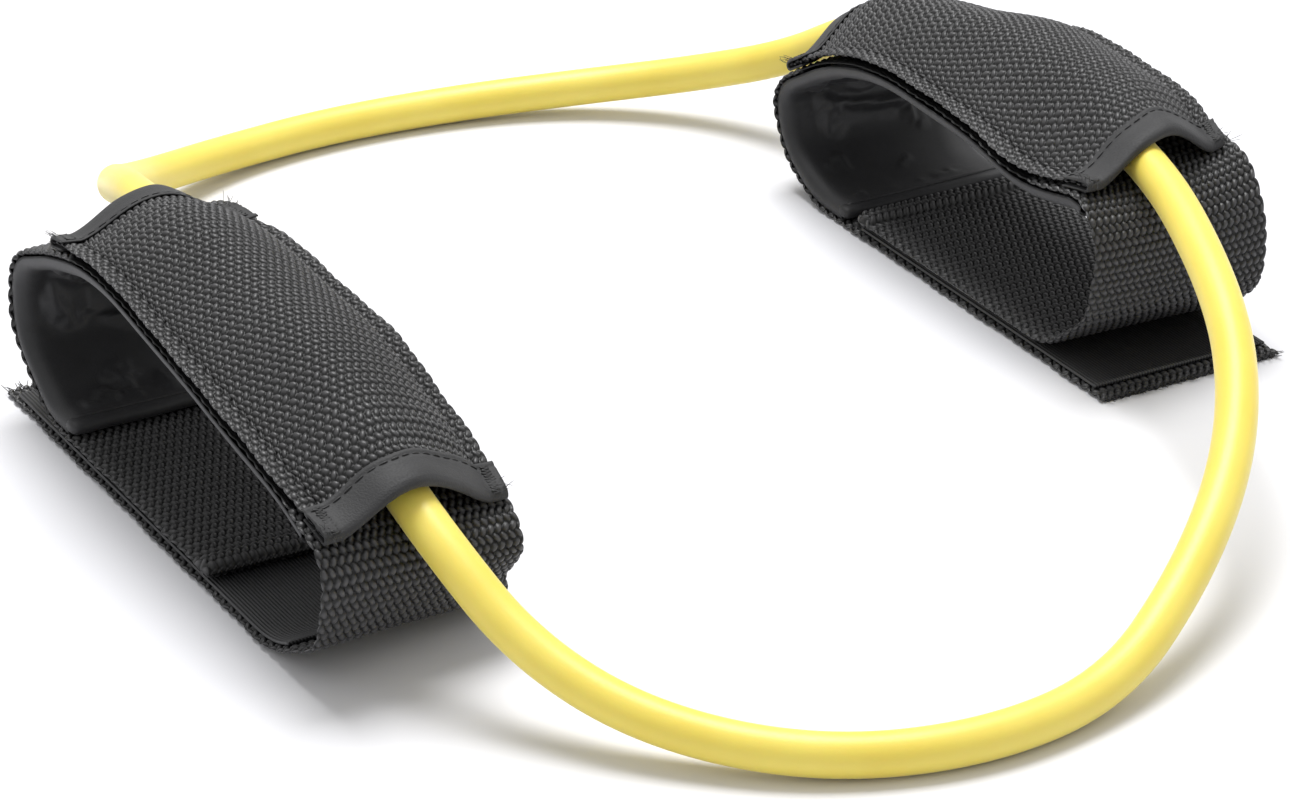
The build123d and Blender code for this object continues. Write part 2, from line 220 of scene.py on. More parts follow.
class Cuff:
    """One cuff: its place in the frame, its strap's route and where its layers start and end."""

    def __init__(
        self, side, corners, hinge, heading, lean, slants,
        hems, reach, chord, crown, lined, folds, fold_from,
    ):
        self.side = side
        self.body = f"{side}_cuff"
        self.flap = f"{side}_flap"
        self.centre_x = centre_of(f"{side}_strap").x
        self.heading = heading
        self.hinge_point = hinge
        low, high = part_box(f"{side}_closure_tail")
        free_end = (high.y if heading < 0 else low.y) / MM
        self.start_y = free_end - heading * corners[-1][0][0]
        self.route = Route(rounded(corners))
        self.hinge = self.route.nearest(hinge)
        self.high_hem, self.low_hem = (self.route.nearest(hem) for hem in hems)
        self.lined = tuple(self.route.nearest(end) for end in lined)
        self.cover = self.route.between(self.high_hem + 3, self.low_hem + 3 * heading)
        self.reach = reach
        self.chord = chord
        self.crown = crown
        self.lean = lean
        self.slants = slants
        self.folds = [(self.route.nearest(spot), *rest) for spot, *rest in folds]
        self.fold_from = fold_from

    def bend_side(self, t):
        """1 in the bend that the lining goes round, 0 at the cuff's other end."""
        start, end = self.fold_from
        return smooth((t - start) / (end - start))

    def hem(self, end, across):
        """Where the cover ends, over its width: it reaches further at one edge than at the other."""
        near, far = self.reach[end]
        reach = near + (far - near) * (np.asarray(across) / HALF_WIDTH + 1) / 2
        return self.high_hem - reach if end == "high" else self.low_hem + reach

    def near_hem(self, end, along):
        """0 well inside the cover to 1 at one of its ends."""
        past = self.high_hem - along if end == "high" else along - self.low_hem
        return smooth((past + PINCH_REACH) / (PINCH_REACH + self.reach[end][0]))

    def arch(self, across, along):
        """How far the cover's middle layer stands out from the strap's over the width."""
        share = np.clip((SEAM_AT - np.abs(across)) / SEAM_AT, 0, 1)
        inside = 1 - self.near_hem("high", along) - self.near_hem("low", along)
        rise = np.sin(math.pi / 2 * share) ** (ARCH_POWER - FAR_BULGE * smooth(across / 6) * inside)
        height = COVER_CROWN - COVER_FOOT
        for end in ("high", "low"):
            height = height * (1 + (self.crown[end] - 1) * self.near_hem(end, along))
        height = height + 0.5 * np.sin(along / 14.0 + across / 9.0) * np.sin(along / 23.0 - across / 8.0)
        return COVER_FOOT + height * rise

    def cover_place(self, along, across, out):
        """Places on the cover, which runs straight on past the strap's bends and narrows at its hems."""
        along, across, out = np.broadcast_arrays(along, across, out)
        narrow = np.ones(across.shape)
        for end in ("high", "low"):
            near, far = self.chord[end]
            narrow = narrow - self.near_hem(end, along) * (1 - np.where(across < 0, near, far) / HALF_WIDTH)
        return self.place(along, across * narrow, out, self.cover)

    def place(self, along, across, out, route=None):
        """Frame coordinates in millimetres of points given by the strap's own terms."""
        along, across, out = np.broadcast_arrays(along, across, out)
        spot, outward = (route or self.route).at(along)
        t = spot[..., 0] + outward[..., 0] * out
        z = spot[..., 1] + outward[..., 1] * out
        return self.settle(t, across, z)

    def settle(self, t, across, z):
        """The soft lean that makes a cuff's two edges differ, and is gone at the flap's hinge."""
        share = across / HALF_WIDTH
        height = smooth((z - 6) / 30)
        z = z + height * self.lean(t, share)
        start, end = self.slants
        far = smooth(share)
        twist = start * (1 + 0.8 * far) * np.clip((z - 22) / 20, -1.5, 1) * smooth((40 - t) / 35)
        tuck = end * (1 + 0.8 * far * smooth((22 - z) / 14)) * smooth((t - 95) / 50)
        above_hinge = smooth((z - self.hinge_point[1]) / 7)
        t = t + share * above_hinge * (twist + tuck)
        return np.stack([self.centre_x + across, self.start_y + self.heading * t, z], -1)


def left_lean(t, share):
    """Near edge up and far edge down along the left cuff's top."""
    sag = 2.0 * (1 - share ** 2) * np.exp(-(((t - 27) / 15) ** 2))
    slope = 3.2 - 1.2 * smooth(share) * smooth((125 - t) / 30)
    return -slope * share * smooth((t - 15) / 30) + 0.9 * np.sin(t / 17.0 + 1.3 * share) - sag


def right_lean(t, share):
    """Far edge up, and a dip in the near edge at the front, along the right cuff's top."""
    near = smooth(-share)
    dip = np.exp(-(((t - 34) / 16) ** 2)) * near
    corner = np.exp(-(((t - 9) / 9) ** 2)) * near
    crest = np.exp(-(((t - 80) / 24) ** 2)) * smooth(share)
    front = np.exp(-(((t - 14) / 16) ** 2))
    sag = 2.5 * (1 - share ** 2) * front + 1.8 * smooth(share) * front
    droop = smooth((t - 70) / 35) * smooth(share + 0.6)
    wave = 0.8 * np.sin(t / 15.0 - 1.1 * share)
    return 1.6 * share - 3.2 * dip + 1.2 * corner + 2.8 * crest - 4.3 * droop - sag + wave


LEFT = Cuff(
    "left", LEFT_STRAP, (145.2, 5.54), -1, left_lean, (0.0, -3.8),
    hems=((28.5, 47.7), (150.0, 33.2)), reach={"high": (4.8, 4.0), "low": (7.0, 3.5)},
    chord={"high": (23.0, 20.6), "low": (22.9, 23.8)}, crown={"high": 0.86, "low": 1.0},
    lined=((32.0, INNER_TAIL_Z), (150.0, 33.2)),
    folds=[((4.0, 40.0), 2.6, 0.10, 0.9), ((2.5, 31.0), 2.2, -0.12, 0.8), ((3.0, 18.0), 2.8, 0.06, 0.7)],
    fold_from=(34.0, 12.0),
)
RIGHT = Cuff(
    "right", RIGHT_STRAP, (103.4, 0.9), 1, right_lean, (2.0, 1.5),
    hems=((19.5, 46.8), (137.4, 33.8)), reach={"high": (10.2, 6.7), "low": (1.5, 2.5)},
    chord={"high": (23.0, 20.6), "low": (24.0, 22.0)}, crown={"high": 0.88, "low": 0.84},
    lined=((8.5, 46.4), (110.0, HALF_WEB)),
    folds=[((126.0, 40.0), 3.0, 0.22, 1.3), ((138.0, 33.0), 2.6, -0.1, 1.1), ((143.0, 18.0), 2.6, 0.12, 0.9)],
    fold_from=(100.0, 124.0),
)


# ---- mesh helpers -------------------------------------------------------------------------------
def add_object(name, data):
    """A new object in the scene that holds this mesh, curve, light or camera."""
    made = bpy.data.objects.new(name, data)
    bpy.context.scene.collection.objects.link(made)
    return made


def make_mesh(name, points, faces, material, **attributes):
    """A mesh object from points in millimetres and its faces."""
    mesh = bpy.data.meshes.new(name)
    points = np.asarray(points, float).reshape(-1, 3) * MM
    faces = np.asarray(faces, np.int32)
    corners = faces.shape[1]
    mesh.vertices.add(len(points))
    mesh.vertices.foreach_set("co", points.astype(np.float32).ravel())
    mesh.loops.add(faces.size)
    mesh.loops.foreach_set("vertex_index", faces.ravel())
    mesh.polygons.add(len(faces))
    mesh.polygons.foreach_set("loop_start", np.arange(0, faces.size, corners, dtype=np.int32))
    mesh.polygons.foreach_set("loop_total", np.full(len(faces), corners, np.int32))
    mesh.update(calc_edges=True)
    mesh.validate()
    mesh.polygons.foreach_set("use_smooth", np.ones(len(mesh.polygons), bool))
    for key, values in attributes.items():
        layer = mesh.attributes.new(key, "FLOAT", "POINT")
        layer.data.foreach_set("value", np.asarray(values, np.float32).ravel())
    mesh.materials.append(material)
    return add_object(name, mesh)


def make_polygons(name, points, faces, material):
    """A mesh object whose faces have any number of corners."""
    mesh = bpy.data.meshes.new(name)
    mesh.from_pydata((points * MM).tolist(), [], faces)
    mesh.validate()
    mesh.polygons.foreach_set("use_smooth", np.ones(len(mesh.polygons), bool))
    mesh.materials.append(material)
    return add_object(name, mesh)


def ring_faces(rows, ring):
    """Quads of a skin whose rows are closed rings, without its end caps."""
    row = np.arange(rows - 1)
    column = np.arange(ring)
    row, column = (grid.ravel() for grid in np.meshgrid(row, column, indexing="ij"))
    after = (column + 1) % ring
    down = row + 1
    return np.stack([row * ring + column, row * ring + after, down * ring + after, down * ring + column], 1)


def cap_faces(rows, ring):
    """Quads that close both ends of a band whose rings go out along the top and back underneath."""
    half = ring // 2
    caps = []
    for start, order in ((0, (0, 3, 2, 1)), ((rows - 1) * ring, (0, 1, 2, 3))):
        for k in range(half - 1):
            quad = (start + k, start + k + 1, start + ring - 2 - k, start + ring - 1 - k)
            caps.append([quad[i] for i in order])
    return np.array(caps)


def skin(cuff, name, along, across, out, material, weave=None, place=None):
    """A closed skin of rings, given as grids in the strap's own terms, one row for each ring."""
    along, across, out = np.broadcast_arrays(along, across, out)
    rows, ring = along.shape
    points = (place or cuff.place)(along, across, out)
    faces = np.concatenate([ring_faces(rows, ring), cap_faces(rows, ring)])
    # the weave attribute holds yarn or rib heights, from which the webbing and hook materials paint shade
    # into the gaps and grooves
    extra = {} if weave is None else {"weave": np.broadcast_to(weave, along.shape)}
    return make_mesh(name, points, faces, material, **extra)


def band(cuff, name, along, across, top, bottom, material, weaves=None, place=None):
    """A closed band whose rings run across its top face and back along its bottom one.

    along is a list of distances or a grid, across a list of places over the width or a grid with one row for
    each distance, and top and bottom are how far out each face stands there.
    """
    shape = (len(along), np.shape(across)[-1])
    along = np.asarray(along, float)
    along = along[:, None] if along.ndim == 1 else along
    along, across, top, bottom = (np.broadcast_to(grid, shape) for grid in (along, across, top, bottom))
    weave = None
    if weaves is not None:
        upper, lower = (np.broadcast_to(grid, shape) for grid in weaves)
        weave = np.concatenate([upper, lower[:, ::-1]], 1)
    return skin(
        cuff,
        name,
        np.concatenate([along, along[:, ::-1]], 1),
        np.concatenate([across, across[:, ::-1]], 1),
        np.concatenate([top, bottom[:, ::-1]], 1),
        material,
        weave,
        place,
    )


# ---- webbing ------------------------------------------------------------------------------------
def weave(along, across):
    """Yarn height from 0 to 1: oval floats in staggered rows that slant to alternate sides."""
    rows = along / ROW_PITCH
    height = np.zeros(np.broadcast(along, across).shape)
    for step in (-1, 0, 1):
        row = np.floor(rows) + step
        forward = rows - row - 0.5
        odd = row % 2
        sideways = across / YARN_PITCH + 0.5 * odd + (2 * odd - 1) * FLOAT_SLANT * forward
        sideways = sideways - np.floor(sideways) - 0.5
        swell = 1 - (sideways / FLOAT_WIDTH) ** 2 - (forward / FLOAT_LENGTH) ** 2
        height = np.maximum(height, np.sqrt(np.clip(swell, 0, 1)))
    return height


def webbing_rows(start, end, hidden=None):
    """Distances along a webbing, a few to each weft row, and far apart where nothing shows."""
    fine = ROW_PITCH / SAMPLES
    rows = np.arange(math.ceil(start / fine) * fine, end, fine)
    if hidden is not None:
        seen = (rows < hidden[0]) | (rows > hidden[1])
        seen[::8] = True
        rows = rows[seen]
    return np.concatenate([[start], rows[(rows > start + 0.1) & (rows < end - 0.1)], [end]])


def webbing_columns():
    """Places across a webbing, a few to each warp yarn, closer together at its rounded edges."""
    inner = np.arange(0, HALF_WIDTH - 0.5, YARN_PITCH / SAMPLES)
    side = np.concatenate([inner, HALF_WIDTH - np.array(EDGE_STEPS)])
    return np.concatenate([-side[:0:-1], side])


def edge_round(across):
    """Share of the thickness left at a place across a webbing whose edges are round."""
    return np.sqrt(np.clip(1 - (np.abs(across) / HALF_WIDTH) ** 26, 0, 1))


def webbing(cuff, name, start, end, material, hidden=None, extra=None):
    """A length of the strap's webbing, woven on both faces."""
    along = webbing_rows(start, end, hidden)[:, None]
    across = webbing_columns()[None, :]
    yarns = weave(along, across)
    under = weave(along + ROW_PITCH, across)
    thick = edge_round(across)
    top = (HALF_WEB - RELIEF * (1 - yarns)) * thick
    bottom = -(HALF_WEB - RELIEF * (1 - under)) * thick
    if extra is not None:
        more_top, more_bottom = extra(along, across)
        top, bottom = top + more_top * thick, bottom - more_bottom * thick
    across = across + selvedge(along, across)
    return band(cuff, name, along[:, 0], across, top, bottom, material, (yarns, under))


def folded_end(along, across):
    """Extra thickness, above and below, of the inner tail's doubled end."""
    length, rise, drop = 6.5, 1.7, 0.7
    share = smooth((length - along) / 1.6)
    nose = np.sqrt(np.clip(1 - ((1.2 - along) / 1.2).clip(0, 1) ** 2, 0, 1))
    dent = 0.35 * np.exp(-(((along - 5.2) / 0.5) ** 2))
    top = drop * share * nose - HALF_WEB * (1 - nose)
    bottom = (rise - dent) * share * nose - HALF_WEB * (1 - nose)
    return top + 0 * across, bottom + 0 * across


def strap(cuff, materials):
    """Base webbing, from the doubled end of the inner tail to the flap's hinge."""
    hidden = (cuff.high_hem + 10, cuff.low_hem - 6)
    piece = webbing(
        cuff, f"{cuff.side}_strap_webbing", 0.0, cuff.hinge - HINGE_GAP, materials["webbing"],
        hidden=hidden, extra=folded_end,
    )
    dress(piece, cuff.body, "charcoal_webbing", f"{cuff.side}_strap")


def dress(piece, body, slot, *nodes):
    """Puts a piece on its body and hides the CAD nodes it stands for; slot is not used."""
    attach(piece, body)
    if nodes:
        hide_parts(*nodes)


def hinge_blend(cuff, piece):
    """Works out where a piece of the flap would bend over the hinge line, and bakes its placement into its
    mesh; no bend is made.
    """
    start = cuff.place(cuff.hinge - 1.0, 0.0, 0.0) * MM
    end = cuff.place(cuff.hinge + HINGE_BEND, 0.0, 0.0) * MM
    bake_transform(piece)


def closure_tail(cuff, materials):
    """Outer tail of the same webbing, which starts just short of the hinge line and ends in a raw cut."""
    piece = webbing(
        cuff, f"{cuff.side}_closure_tail_webbing", cuff.hinge - HINGE_GAP, cuff.route.length,
        materials["webbing"],
    )
    hinge_blend(cuff, piece)
    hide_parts(f"{cuff.side}_closure_tail")


def hook_tape(cuff, materials):
    """Hook tape on the closure tail, with fine ribs along it."""
    along = np.arange(cuff.hinge + 1.5, cuff.route.length - 4.5, 1.0)
    half = HALF_WIDTH - 1.2
    across = np.arange(-half, half + 0.01, RIB_PITCH / 6)
    edge = np.sqrt(np.clip(1 - (np.abs(across) / half) ** 60, 0, 1))
    ribs = 0.5 + 0.5 * np.cos(2 * math.pi * across / RIB_PITCH)
    inner = -HALF_WEB - HOOK_THICK + 0.3 * (1 - ribs)
    top = np.full_like(across, -HALF_WEB + 0.1)
    top, inner = top - 0.2 * (1 - edge), inner + 0.5 * (1 - edge)
    piece = band(
        cuff, f"{cuff.side}_hook_tape_ribs", along, across, top, inner, materials["hook"], (ribs, ribs),
    )
    hinge_blend(cuff, piece)
    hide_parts(f"{cuff.side}_hook_tape")


def loop_tape(cuff, materials):
    """Loop tape under the inner tail, with a brushed face."""
    rng = np.random.default_rng(RNG_SEED)
    low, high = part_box(f"{cuff.side}_loop_tape")
    length = (high.y - low.y) / MM
    along = np.arange(4.0, 4.0 + length, 0.7)
    half = HALF_WIDTH - 1.2
    across = np.linspace(-half, half, 72)
    tuft = 0.12 * rng.random((len(along), len(across)))
    outer = HALF_WEB + LOOP_THICK - tuft
    inner = np.full_like(outer, HALF_WEB - 0.1)
    outer[:, (0, -1)] = inner[:, (0, -1)] + 0.25
    piece = band(cuff, f"{cuff.side}_loop_tape_pile", along, across, outer, inner, materials["loop"])
    dress(piece, cuff.body, "black_loop_tape", f"{cuff.side}_loop_tape")


# ---- pad and lining -----------------------------------------------------------------------------
def pad_rows(cuff, inset, step=1.0):
    start, end = cuff.lined
    return np.linspace(start + inset, end - inset, int((end - start) / step))


def foam_pad(cuff, materials):
    """Foam inside the lining, a little crowned."""
    along = pad_rows(cuff, 2.0, 2.0)
    half = 20.9
    across = np.linspace(-half, half, 40)
    thick = np.sqrt(np.clip(1 - (across / half) ** 8, 0, 1))
    middle = -HALF_WEB - FOAM_THICK / 2
    top = middle + (FOAM_THICK / 2 - 0.05) * thick
    bottom = middle - (FOAM_THICK / 2 - 0.05) * thick
    piece = band(cuff, f"{cuff.side}_foam", along, across, top, bottom, materials["foam"])
    dress(piece, cuff.body, "grey_foam", f"{cuff.side}_foam_pad")


def pleats(cuff, along, across):
    """How far the lining stands in from the pad, in soft folds across the tightest bend."""
    spot, _ = cuff.route.at(along)
    height, t = spot[..., 1], spot[..., 0]
    bend = smooth((34 - np.abs(height - 24)) / 22) * cuff.bend_side(t)
    wave = 0.0
    for phase, pitch, slope, size in cuff.folds:
        crest = (along - phase - slope * across) / pitch
        wave = wave + size * np.exp(-(crest ** 2)) * (0.75 + 0.25 * np.sin(across / 6.0 + phase))
    ripple = 0.18 * np.sin(along / 4.1 + across / 9.0) * np.sin(across / 7.0 + along / 11.0)
    return bend * wave + ripple


def spread_grid(values, rows, columns, new_rows, new_columns):
    """A grid of values read off at new rows and columns, straight between its own."""
    across = np.stack([np.interp(new_columns, columns, line) for line in values])
    return np.stack([np.interp(new_rows, rows, line) for line in across.T], 1)


def crumpled(cuff, half):
    """Cloth simulation of the lining, cut a little too large for its bend and held at its borders.

    Gives how far it buckles in from the pad, and the distances along and across that this is for.
    """
    along = pad_rows(cuff, LINING_INSET, CLOTH_STEP)
    across = np.linspace(-half, half, int(2 * half / CLOTH_STEP))
    depth = HALF_WEB + FOAM_THICK + LINING_THICK
    start = 0.6 * pleats(cuff, along[:, None], across[None, :])
    rest = cuff.place(along[:, None], across[None, :], -depth - start)
    pad = cuff.place(along[:, None], across[None, :], -depth)
    inward = cuff.place(along[:, None], across[None, :], -depth - 1.0) - pad
    inward /= np.linalg.norm(inward, axis=2)[:, :, None]
    rows, columns = rest.shape[:2]
    corner = (np.arange(rows - 1)[:, None] * columns + np.arange(columns - 1)[None, :]).ravel()
    faces = np.stack([corner, corner + 1, corner + columns + 1, corner + columns], 1)
    cloth = make_mesh("lining_simulation", rest, faces, bpy.data.materials.new("simulated"))
    held = np.zeros((rows, columns), bool)
    held[:2] = held[-2:] = True
    held[:, :2] = held[:, -2:] = True
    pins = cloth.vertex_groups.new(name="held")
    pins.add(np.flatnonzero(held).tolist(), 1.0, "REPLACE")
    settings = cloth.modifiers.new("cloth", "CLOTH").settings
    settings.vertex_group_mass = "held"
    settings.quality = 6
    settings.mass = 0.2
    settings.shrink_min = -CLOTH_EASE
    settings.tension_stiffness = settings.compression_stiffness = 20
    settings.bending_stiffness = 0.4
    settings.effector_weights.gravity = 0
    scene = bpy.context.scene
    for step in range(1, CLOTH_FRAMES + 1):
        scene.frame_set(step)
    result = cloth.evaluated_get(bpy.context.evaluated_depsgraph_get()).data
    moved = np.empty(rows * columns * 3, np.float32)
    result.vertices.foreach_get("co", moved)
    scene.frame_set(1)
    material = cloth.data.materials[0]
    bpy.data.objects.remove(cloth)
    bpy.data.materials.remove(material)
    moved = moved.reshape(rows, columns, 3) / MM - rest
    buckle = start + (moved * inward).sum(2)
    return np.clip(buckle, 0, MOST_BUCKLE), along, across


def lining(cuff, materials):
    """Smooth lining drawn over the foam and down round its edges."""
    along = pad_rows(cuff, LINING_INSET, 0.8)[:, None]
    half = HALF_WIDTH - 0.6
    side = np.concatenate([np.linspace(0, 0.8, 36), 1 - 0.2 * np.linspace(1, 0, 14)[1:] ** 1.6])
    across = half * np.concatenate([-side[:0:-1], side])[None, :]
    draw = np.clip((np.abs(across) - 20.4) / (half - 20.4), 0, 1)
    fall = 1 - np.sqrt(np.clip(1 - draw ** 2.2, 0, 1))
    depth = HALF_WEB + 0.1 + FOAM_THICK * (1 - fall)
    buckle, rows, columns = crumpled(cuff, 21.5)
    fold = spread_grid(buckle, rows, columns, along[:, 0], across[0])
    fold = fold * (1 - draw)
    inner = -depth - LINING_THICK - fold
    outer = np.maximum(-depth, inner + 0.5)
    piece = band(
        cuff, f"{cuff.side}_lining_cloth", along[:, 0], across, outer, inner, materials["lining"],
    )
    dress(piece, cuff.body, "black_lining", f"{cuff.side}_lining")


def lining_hem(cuff, materials):
    """Rolled end of the lining on the cuff's bottom."""
    end = cuff.lined[0] if cuff.side == "left" else cuff.lined[1]
    inward = 1 if cuff.side == "left" else -1
    across = np.linspace(-24.9, 24.9, 90)
    turn = np.linspace(0, 2 * math.pi, 24, endpoint=False)
    flat = 0.16 * np.sin(across / 3.1) + 0.2 * np.sin(across / 7.7 + 1)
    round_x = np.sign(np.cos(turn)) * np.abs(np.cos(turn)) ** 0.8
    round_z = np.sign(np.sin(turn)) * np.abs(np.sin(turn)) ** 0.8
    shrink = np.sqrt(np.clip(1 - (across / 25.2) ** 30, 0, 1))
    along = end + inward * 0.2 + (2.6 * round_x[None, :] + flat[:, None]) * shrink[:, None]
    out = -HALF_WEB - 1.85 + 1.75 * round_z[None, :] * shrink[:, None]
    piece = skin(
        cuff, f"{cuff.side}_lining_hem_roll", along, across[:, None], out, materials["lining"],
    )
    dress(piece, cuff.body, "black_lining", f"{cuff.side}_lining_hem")


# ---- channel cover, bindings and sewing ---------------------------------------------------------
def cover_columns(cuff):
    """Places across the cover a few to each yarn, and their distances along its arched section."""
    fine = np.linspace(0, HALF_WIDTH, 800)
    drop = np.gradient(cuff.arch(fine, (cuff.high_hem + cuff.low_hem) / 2), fine)
    run = np.concatenate([[0], np.cumsum(np.sqrt(1 + drop[1:] ** 2) * np.diff(fine))])
    even = np.arange(0, run[-1] - 0.5, YARN_PITCH / SAMPLES)
    even = np.concatenate([even, run[-1] - np.array(EDGE_STEPS)])
    side = np.interp(even, run, fine)
    return np.concatenate([-side[:0:-1], side]), np.concatenate([-even[:0:-1], even])


def selvedge(along, across):
    """How far the woven edges stand out or in, in small scallops where the weft turns."""
    scallop = SCALLOP * np.abs(np.sin(math.pi * along / (2 * ROW_PITCH))) ** 0.7 - SCALLOP
    drift = WANDER * np.sin(along / 9.0 + 2.0) * np.sin(along / 4.3)
    return np.sign(across) * (np.abs(across) / HALF_WIDTH) ** 12 * (scallop + drift)


def channel_cover(cuff, materials):
    """Second strip of webbing, sewn down along both edges, that arches over the tube."""
    across, run = cover_columns(cuff)
    across, run = across[None, :], run[None, :]
    start, end = cuff.hem("high", across) + 0.5, cuff.hem("low", across) - 0.5
    steps = int((end - start).max() * SAMPLES / ROW_PITCH)
    along = start + (end - start) * np.linspace(0, 1, steps)[:, None]
    yarns, under = weave(along, run), weave(along + ROW_PITCH, run)
    thick = edge_round(across)
    seam = 0.3 * np.exp(-(((np.abs(across) - SEAM_AT) / 1.1) ** 2))
    middle = cuff.arch(across, along) - seam
    top = middle + (HALF_WEB - RELIEF * (1 - yarns)) * thick
    bottom = middle - (HALF_WEB - RELIEF * (1 - under)) * thick
    piece = band(
        cuff, f"{cuff.side}_channel_cover_webbing", along, across + selvedge(along, across),
        top, bottom, materials["webbing"], (yarns, under), cuff.cover_place,
    )
    dress(piece, cuff.body, "charcoal_webbing", f"{cuff.side}_channel_cover")


def hem_ring():
    """Section of a folded tape as (inward from the hem, out from the cover's middle) pairs."""
    outer, inner = HALF_WEB + TAPE_THICK, HALF_WEB - 0.05
    reach = np.linspace(BINDING_LENGTH, outer, 26)
    stitch = np.exp(-(((reach - STITCH_INSET) / 0.55) ** 2))
    puff = 0.22 * np.exp(-(((reach - 3.0) / 2.2) ** 2))
    lip = 0.25 * smooth((reach - BINDING_LENGTH + 0.7) / 0.7)
    height = outer + puff - 0.28 * stitch - lip
    turn = np.linspace(0, math.pi, 14)[1:-1]
    nose = np.stack([outer - outer * np.sin(turn), outer * np.cos(turn)], 1)
    back = np.linspace(outer, BINDING_LENGTH - 1.0, 10)
    under = np.stack([back, np.full_like(back, -outer)], 1)
    inside = np.linspace(BINDING_LENGTH - 1.0, outer, 8)
    lower = np.stack([inside, np.full_like(inside, -inner)], 1)
    bow = np.linspace(math.pi, 0, 10)[1:-1]
    crook = np.stack([outer - inner * np.sin(bow), inner * np.cos(bow)], 1)
    upper = np.linspace(outer, BINDING_LENGTH, 12)
    top = np.stack([upper, np.full_like(upper, inner)], 1)
    return np.concatenate([np.stack([reach, height], 1), nose, under, lower, crook, top])


def hem_binding(cuff, end, materials):
    """Smooth tape folded over one end of the cover, with its row of stitches."""
    inward = 1 if end == "high" else -1
    across = np.linspace(-HALF_WIDTH - 0.3, HALF_WIDTH + 0.3, 120)[:, None]
    ring = hem_ring()[None]

    def wave(across):
        return 0.25 * np.sin(across / 5.7 + cuff.high_hem) + 0.2 * np.sin(across / 2.3)

    along = cuff.hem(end, across) + inward * (ring[..., 0] + wave(across) * smooth(ring[..., 0] / 3))
    out = cuff.arch(across, along) + ring[..., 1] + 0.08 * np.sin(across / 1.9) * smooth(ring[..., 1])
    points = cuff.cover_place(along, across, out)
    piece = make_ring_piece(f"{cuff.side}_{end}_binding_tape", points, materials["tape"])
    dress(piece, cuff.body, "charcoal_tape", f"{cuff.side}_{end}_binding")
    half = 1.05
    dashes = []
    for middle in np.arange(-HALF_WIDTH + 2.0, HALF_WIDTH - 1.5, STITCH_PITCH):
        u = np.linspace(middle - half, middle + half, 7)
        bow = 0.18 * np.sqrt(np.clip(1 - ((u - middle) / half) ** 2, 0, 1))
        spot = cuff.hem(end, u) + inward * (STITCH_INSET + wave(u))
        dashes.append(cuff.cover_place(spot, u, cuff.arch(u, spot) + HALF_WEB + TAPE_THICK - 0.22 + bow))
    thread = strands(f"{cuff.side}_{end}_binding_stitches", dashes, 0.17, materials["thread"])
    dress(thread, cuff.body, "charcoal_thread")


def make_ring_piece(name, points, material):
    """A closed skin of points in rows of rings, whose sections needn't be flat bands."""
    rows, ring, _ = points.shape
    faces = ring_faces(rows, ring).tolist()
    faces.append(list(range(ring))[::-1])
    faces.append(list(range((rows - 1) * ring, rows * ring)))
    return make_polygons(name, points.reshape(-1, 3), faces, material)


def frames_along(points):
    """Two directions square to a line at each of its points, carried along without twisting."""
    points = np.asarray(points, float)
    heading = np.gradient(points, axis=0)
    heading /= np.linalg.norm(heading, axis=1)[:, None]
    aside = np.cross(heading[0], (0.0, 0.0, 1.0))
    if np.linalg.norm(aside) < 0.1:
        aside = np.cross(heading[0], (1.0, 0.0, 0.0))
    sides = []
    for direction in heading:
        aside = aside - direction * (aside @ direction)
        aside = aside / np.linalg.norm(aside)
        sides.append(aside)
    sides = np.array(sides)
    return sides, np.cross(heading, sides)


def strands(name, lines, radius, material, sides=5, taper=0.25):
    """Threads as one mesh: a thin closed tube along each line, thinner at its ends."""
    points, faces = [], []
    start = 0
    for line in lines:
        line = np.asarray(line, float)
        one, two = frames_along(line)
        count = len(line)
        share = np.linspace(0, 1, count)
        thick = radius * (taper + (1 - taper) * np.sqrt(np.clip(1 - (2 * share - 1) ** 6, 0, 1)))
        turn = np.linspace(0, 2 * math.pi, sides, endpoint=False)
        ring = (
            line[:, None]
            + thick[:, None, None] * np.cos(turn)[None, :, None] * one[:, None]
            + thick[:, None, None] * np.sin(turn)[None, :, None] * two[:, None]
        )
        points.append(ring.reshape(-1, 3))
        faces += (ring_faces(count, sides) + start).tolist()
        faces.append([start + k for k in range(sides)][::-1])
        faces.append([start + (count - 1) * sides + k for k in range(sides)])
        start += count * sides
    return make_polygons(name, np.concatenate(points), faces, material)


def seam_stitching(cuff, materials):
    """The two long seams that hold the cover down, stitch by stitch."""
    dashes = []
    for side in (-1, 1):
        start = cuff.hem("high", side * SEAM_AT) + BINDING_LENGTH + 2
        end = cuff.hem("low", side * SEAM_AT) - BINDING_LENGTH - 1
        for middle in np.arange(start, end, STITCH_PITCH):
            along = np.linspace(middle - 1.0, middle + 1.0, 6)
            across = side * (SEAM_AT + 0.12 * np.sin(along))
            bow = 0.2 * np.sqrt(np.clip(1 - (along - middle) ** 2, 0, 1))
            dashes.append(cuff.cover_place(along, across, COVER_FOOT + HALF_WEB - 0.5 + bow))
    piece = strands(f"{cuff.side}_seam_stitches", dashes, 0.15, materials["thread"])
    dress(piece, cuff.body, "charcoal_thread", f"{cuff.side}_seam_stitching")


